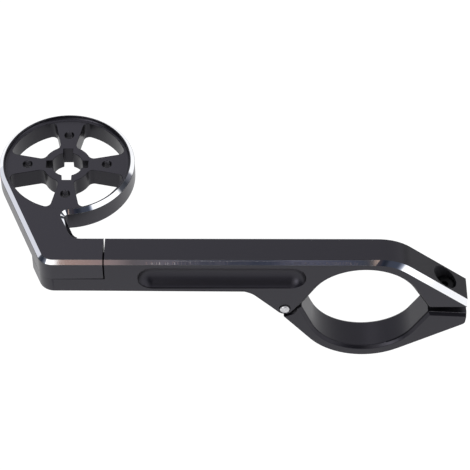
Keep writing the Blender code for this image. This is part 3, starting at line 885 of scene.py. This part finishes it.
def knurl_tree(name, material):
    """Geometry Nodes: straight ribs evenly spaced round a cylinder."""
    sizes = {"Radius": 2.75 * MM, "Height": 1.8 * MM, "Rib": 0.12 * MM, "Ribs": 48}
    tree, given = started_tree(name, sizes)
    nodes = tree.nodes
    link = tree.links.new
    ring = nodes.new("GeometryNodeMeshCircle")
    ring.fill_type = "NONE"
    link(given["Ribs"], ring.inputs["Vertices"])
    link(given["Radius"], ring.inputs["Radius"])
    rib = nodes.new("GeometryNodeMeshCylinder")
    rib.inputs["Vertices"].default_value = 6
    link(given["Rib"], rib.inputs["Radius"])
    link(given["Height"], rib.inputs["Depth"])
    copies = nodes.new("GeometryNodeInstanceOnPoints")
    link(ring.outputs[0], copies.inputs["Points"])
    link(rib.outputs[0], copies.inputs["Instance"])
    return ended_tree(tree, copies.outputs[0], material)


def grown_mesh(tree, sizes, place):
    """Runs a Geometry Nodes tree with its sizes and gives the plain mesh, moved to its place."""
    source = bpy.data.objects.new(tree.name, bpy.data.meshes.new(tree.name))
    bpy.context.collection.objects.link(source)
    grow = source.modifiers.new("grow", "NODES")
    grow.node_group = tree
    for item in tree.interface.items_tree:
        if item.in_out == "INPUT" and item.name in sizes:
            grow[item.identifier] = sizes[item.name]
    mesh = plain_mesh(source)
    mesh.transform(Matrix.Translation(place))
    return mesh


class MOUNT_OT_arm(bpy.types.Operator):
    """Dress the arm: anodised faces, bright cut chamfers along its top and slope"""

    bl_idname = "mount.arm"
    bl_label = "Arm"

    def execute(self, context):
        scene = context.scene
        kinds = mount_materials(scene.mount_finishes)
        edges = scene.mount_edges
        names = ("anodised_arm", "bright_cut", "painted_light_counterbore", "anodised_line", "anodised_slope",
                 "anodised_pocket_painted_light")
        materials = [kinds[name] for name in names]
        width = edges.bore_line
        lines = ((bore_line, width, ARM_LINE), (pocket_line, width, ARM_LINE))
        dressed("arm", "milled_arm", "mount_body", "arm_aluminium", materials,
                arm_finish, edges, lines)
        return {"FINISHED"}


class MOUNT_OT_head(bpy.types.Operator):
    """Dress the head plate: anodised faces and a bright cut chamfer round its outline"""

    bl_idname = "mount.head"
    bl_label = "Head plate"

    def execute(self, context):
        scene = context.scene
        kinds = mount_materials(scene.mount_finishes)
        names = ("anodised_head", "bright_cut", "anodised_inside_painted_shade", "painted_light_bore")
        materials = [kinds[name] for name in names]
        dressed("head_plate", "milled_head", "mount_body", "head_aluminium", materials,
                head_finish, scene.mount_edges)
        return {"FINISHED"}


class MOUNT_OT_jaw(bpy.types.Operator):
    """Dress the lower jaw, anodised all over but for a painted highlight along its lip"""

    bl_idname = "mount.jaw"
    bl_label = "Lower jaw"

    def execute(self, context):
        scene = context.scene
        kinds = mount_materials(scene.mount_finishes)
        edges = scene.mount_edges
        names = ("anodised_jaw", "painted_edge_highlight", "anodised_line", "anodised_bore")
        materials = [kinds[name] for name in names]
        # The lip line takes the painted highlight.
        lines = ((bore_line, edges.bore_line, JAW_LINE), (lip_line, edges.shine, BRIGHT))
        dressed("lower_jaw", "milled_jaw", "jaw", "jaw_aluminium", materials,
                jaw_finish, edges, lines)
        return {"FINISHED"}


class MOUNT_OT_pin(bpy.types.Operator):
    """Turn the hinge pin in bright steel"""

    bl_idname = "mount.pin"
    bl_label = "Hinge pin"

    def execute(self, context):
        scene = context.scene
        axis = (PIN_LOW + PIN_HIGH) / 2
        steel = turned_steel("turned_steel", tuple(scene.mount_finishes.pin), 0.28, axis)
        dressed("hinge_pin", "turned_pin", "mount_body", "pin_steel", (steel,),
                None, scene.mount_edges)
        return {"FINISHED"}


class MOUNT_OT_bolt(bpy.types.Operator):
    """Make the clamp bolt, with a thread along its shank and a knurl round its head"""

    bl_idname = "mount.bolt"
    bl_label = "Clamp bolt"

    def execute(self, context):
        scene = context.scene
        threads = scene.mount_threads
        oxide = mount_materials(scene.mount_finishes)["black_oxide"]
        dressed("clamp_bolt", "socket_bolt", "bolt", "bolt_steel", (oxide,),
                None, scene.mount_edges)
        thread = {
            "Radius": THREAD_RADIUS,
            "Pitch": threads.pitch,
            "Turns": THREAD_TURNS,
            "Ridge": threads.depth,
        }
        place = Vector((BOLT_AXIS.x, BOLT_AXIS.y, BOLT_LOW.z + THREAD_START))
        ridge = grown_mesh(thread_tree("bolt_thread", oxide), thread, place)
        finished(ridge, "bolt_thread", "bolt", "bolt_steel")
        knurl = {
            "Radius": BOLT_HEAD_RADIUS,
            "Height": BOLT_HEAD_SIDE[1] - BOLT_HEAD_SIDE[0] - KNURL_MARGIN,
            "Rib": threads.rib,
            "Ribs": threads.ribs,
        }
        place = Vector((BOLT_AXIS.x, BOLT_AXIS.y, sum(BOLT_HEAD_SIDE) / 2))
        ribs = grown_mesh(knurl_tree("bolt_knurl", oxide), knurl, place)
        finished(ribs, "bolt_knurl", "bolt", "bolt_steel")
        return {"FINISHED"}


class MOUNT_OT_screws(bpy.types.Operator):
    """Make the two countersunk screws under the head's foot"""

    bl_idname = "mount.screws"
    bl_label = "Lap screws"

    def execute(self, context):
        scene = context.scene
        oxide = mount_materials(scene.mount_finishes)["black_oxide"]
        for index in (1, 2):
            dressed(f"head_screw_{index}", f"lap_screw_{index}", "mount_body", "screw_steel",
                    (oxide,), None, scene.mount_edges)
        return {"FINISHED"}


FLOOR_REACH = 4.0
# Light seen round the horizon, by azimuth in degrees: 0 is the camera's side, + is to its right.
HORIZON = (
    (-180, (0.80, 0.80, 0.82)),
    (-150, (0.86, 0.86, 0.89)),
    (-118, (0.79, 0.80, 0.85)),
    (-106, (0.77, 0.78, 0.84)),
    (-103, (0.13, 0.14, 0.16)),
    (-94, (0.045, 0.05, 0.065)),
    (-78, (0.028, 0.034, 0.05)),
    (-62, (0.13, 0.14, 0.17)),
    (-52, (0.36, 0.38, 0.43)),
    (-48, (1.3, 1.3, 1.28)),
    (-8, (1.3, 1.28, 1.25)),
    (-7.5, (0.05, 0.05, 0.06)),
    (9, (0.045, 0.038, 0.047)),
    (12.5, (0.026, 0.03, 0.046)),
    (16, (0.018, 0.021, 0.032)),
    (20, (0.026, 0.03, 0.042)),
    (24.5, (0.05, 0.057, 0.08)),
    (36, (0.052, 0.062, 0.09)),
    (38.5, (0.20, 0.22, 0.28)),
    (40, (0.40, 0.44, 0.54)),
    (43, (1.35, 1.35, 1.35)),
    (87, (1.35, 1.35, 1.35)),
    (92, (0.08, 0.085, 0.10)),
    (104, (0.04, 0.045, 0.055)),
    (117, (0.20, 0.20, 0.23)),
    (120, (1.12, 1.12, 1.12)),
    (168, (1.12, 1.12, 1.12)),
    (180, (0.95, 0.95, 0.97)),
)
# The narrow things over the camera that the arm's long chamfer picks out one by one.
OVER_CAMERA = (
    (-8.0, (1.3, 1.28, 1.25)),
    (-6.68, (1.3, 1.28, 1.25)),
    (-6.62, (0.38, 0.26, 0.225)),
    (-5.0, (0.29, 0.21, 0.20)),
    (-4.4, (0.24, 0.19, 0.19)),
    (-3.8, (0.115, 0.10, 0.105)),
    (-2.4, (0.135, 0.125, 0.15)),
    (-2.0, (0.07, 0.07, 0.09)),
    (1.4, (0.035, 0.04, 0.06)),
    (2.2, (0.10, 0.10, 0.135)),
    (4.4, (0.06, 0.065, 0.095)),
    (5.16, (0.045, 0.05, 0.06)),
    (5.34, (0.44, 0.33, 0.28)),
    (5.56, (0.44, 0.33, 0.28)),
    (5.74, (0.05, 0.05, 0.06)),
    (8.0, (0.05, 0.045, 0.055)),
)
# Soft boxes and dark flags: azimuth, elevation, half width, half height, softness, colour.
SOFT_BOXES = (
    (-42.0, 22.0, 9.0, 12.0, 3.0, (4.8, 4.8, 4.8)),
    (-160.0, 52.0, 16.0, 16.0, 10.0, (1.35, 1.34, 1.38)),
    (2.0, 6.0, 16.0, 18.0, 7.0, (0.46, 0.45, 0.48)),
    (0.0, 56.0, 34.0, 6.0, 2.5, (0.18, 0.18, 0.20)),
    (152.0, 36.0, 26.0, 22.0, 5.0, (0.84, 0.84, 0.86)),
    (50.0, 0.0, 9.0, 14.0, 1.5, (1.35, 1.35, 1.35)),
)


def studio_world(world):
    """White to the camera; to light and reflections, a white room with dark gaps between boxes."""
    graph = Graph(world)
    x, y, z = graph.parts(graph.add("ShaderNodeTexCoord", output="Generated"))
    degrees = 180 / math.pi
    azimuth = x.turn_from(-y) * degrees
    elevation = z.arcsine() * degrees

    def ramp(stops, low, high):
        steps = [((at - low) / (high - low), (*tint, 1.0)) for at, tint in stops]
        place = (azimuth - low) / (high - low)
        return graph.add("ShaderNodeValToRGB", {"stops": steps}, {0: place})

    room = (0.92, 0.91, 0.95, 1.0)
    front = azimuth.band(0.0, 7.9, 0.1) * elevation.band(42.0, 7.0, 2.0)
    ring = graph.mix(front, ramp(HORIZON, -180.0, 180.0), ramp(OVER_CAMERA, -8.0, 8.0))
    colour = graph.mix(elevation.band(22.0, 36.0, 8.0), room, ring)
    for middle, height, wide, tall, soft, tint in SOFT_BOXES:
        mask = azimuth.band(middle, wide, soft) * elevation.band(height, tall, soft)
        colour = graph.mix(mask, colour, (*tint, 1.0))
    light = graph.add("ShaderNodeBackground", inputs={"Color": colour, "Strength": 1.0})
    white = (1.0, 1.0, 1.0, 1.0)
    plain = graph.add("ShaderNodeBackground", inputs={"Color": white, "Strength": 1.0})
    seen = graph.add("ShaderNodeLightPath", output="Is Camera Ray")
    mixed = graph.add("ShaderNodeMixShader", inputs={0: seen, 1: light, 2: plain})
    graph.add_output("ShaderNodeOutputWorld", mixed)


def floor_material(colour):
    """A pale floor that reads as white and keeps a soft shadow."""
    material, graph = new_material("pale_floor")
    grain = graph.noise(graph.place(), 40.0, 2.0, 0.5)
    tone = graph.mix(grain, tuple(value * 0.98 for value in colour) + (1.0,), (*colour, 1.0))
    matte = graph.add("ShaderNodeBsdfDiffuse", inputs={"Color": tone})
    white = (1.0, 1.0, 1.0, 1.0)
    glow = graph.add("ShaderNodeEmission", inputs={"Color": white, "Strength": 1.12})
    camera = graph.add("ShaderNodeLightPath", output="Is Camera Ray")
    glossy = graph.add("ShaderNodeLightPath", output="Is Glossy Ray")
    share = camera.larger(glossy) * 0.86
    graph.surface(graph.add("ShaderNodeMixShader", inputs={0: share, 1: matte, 2: glow}))
    return material


class MOUNT_OT_stage(bpy.types.Operator):
    """Set the pale floor, the studio's light and the camera"""

    bl_idname = "mount.stage"
    bl_label = "Stage"

    def execute(self, context):
        scene = context.scene
        studio = scene.mount_studio
        made = bmesh.new()
        bmesh.ops.create_grid(made, x_segments=2, y_segments=2, size=FLOOR_REACH)
        mesh = bpy.data.meshes.new("studio_floor")
        made.to_mesh(mesh)
        made.free()
        mesh.transform(Matrix.Translation((0, 0, studio.floor_drop)))
        mesh.materials.append(floor_material(tuple(studio.floor_colour)))
        floor = bpy.data.objects.new("studio_floor", mesh)
        context.collection.objects.link(floor)

        world = bpy.data.worlds.new("studio")
        scene.world = world
        studio_world(world)

        scene.view_settings.view_transform = "Standard"
        scene.camera = studio_camera(context, studio)
        return {"FINISHED"}


def studio_camera(context, studio):
    """A camera in front of the mount, looking down on it."""
    data = bpy.data.cameras.new("studio_camera")
    data.sensor_width = 36.0
    data.lens = studio.lens
    data.clip_start = 0.01
    camera = bpy.data.objects.new("studio_camera", data)
    context.collection.objects.link(camera)
    back = Vector((0, -math.cos(studio.elevation), math.sin(studio.elevation)))
    right = Vector((1, 0, 0))
    up = back.cross(right)
    turned_right = right * math.cos(studio.roll) + up * math.sin(studio.roll)
    turned_up = up * math.cos(studio.roll) - right * math.sin(studio.roll)
    basis = Matrix((turned_right, turned_up, back)).transposed().to_4x4()
    place = Vector(studio.target) + back * studio.distance
    camera.matrix_world = Matrix.Translation(place) @ basis
    return camera


OPERATORS = (
    MOUNT_OT_arm,
    MOUNT_OT_head,
    MOUNT_OT_jaw,
    MOUNT_OT_pin,
    MOUNT_OT_bolt,
    MOUNT_OT_screws,
    MOUNT_OT_stage,
)


class MOUNT_PT_sidebar(bpy.types.Panel):
    """The mount's pieces, finishes and stage"""

    bl_idname = "MOUNT_PT_sidebar"
    bl_label = "Bike Computer Mount"
    bl_space_type = "VIEW_3D"
    bl_region_type = "UI"
    bl_category = "Mount"

    def draw(self, context):
        layout = self.layout
        for title, name in GROUPS:
            box = layout.box()
            box.label(text=title)
            group = getattr(context.scene, name)
            for key in group.bl_rna.properties.keys():
                if key not in ("rna_type", "name"):
                    box.prop(group, key)
        column = layout.column()
        for operator in OPERATORS:
            column.operator(operator.bl_idname)


GROUPS = (
    ("Finishes", "mount_finishes"),
    ("Edges", "mount_edges"),
    ("Threads", "mount_threads"),
    ("Studio", "mount_studio"),
)
GROUP_TYPES = {
    "mount_finishes": MountFinishes,
    "mount_edges": MountEdges,
    "mount_threads": MountThreads,
    "mount_studio": MountStudio,
}
CLASSES = (*GROUP_TYPES.values(), *OPERATORS, MOUNT_PT_sidebar)


def register():
    for kind in CLASSES:
        bpy.utils.register_class(kind)
    for name, kind in GROUP_TYPES.items():
        setattr(bpy.types.Scene, name, bpy.props.PointerProperty(type=kind))


def unregister():
    for name in GROUP_TYPES:
        delattr(bpy.types.Scene, name)
    for kind in reversed(CLASSES):
        bpy.utils.unregister_class(kind)


def main():
    register()
    bpy.ops.mount.arm()
    bpy.ops.mount.head()
    bpy.ops.mount.jaw()
    bpy.ops.mount.pin()
    bpy.ops.mount.bolt()
    bpy.ops.mount.screws()
    bpy.ops.mount.stage()


if __name__ == "__main__":
    main()
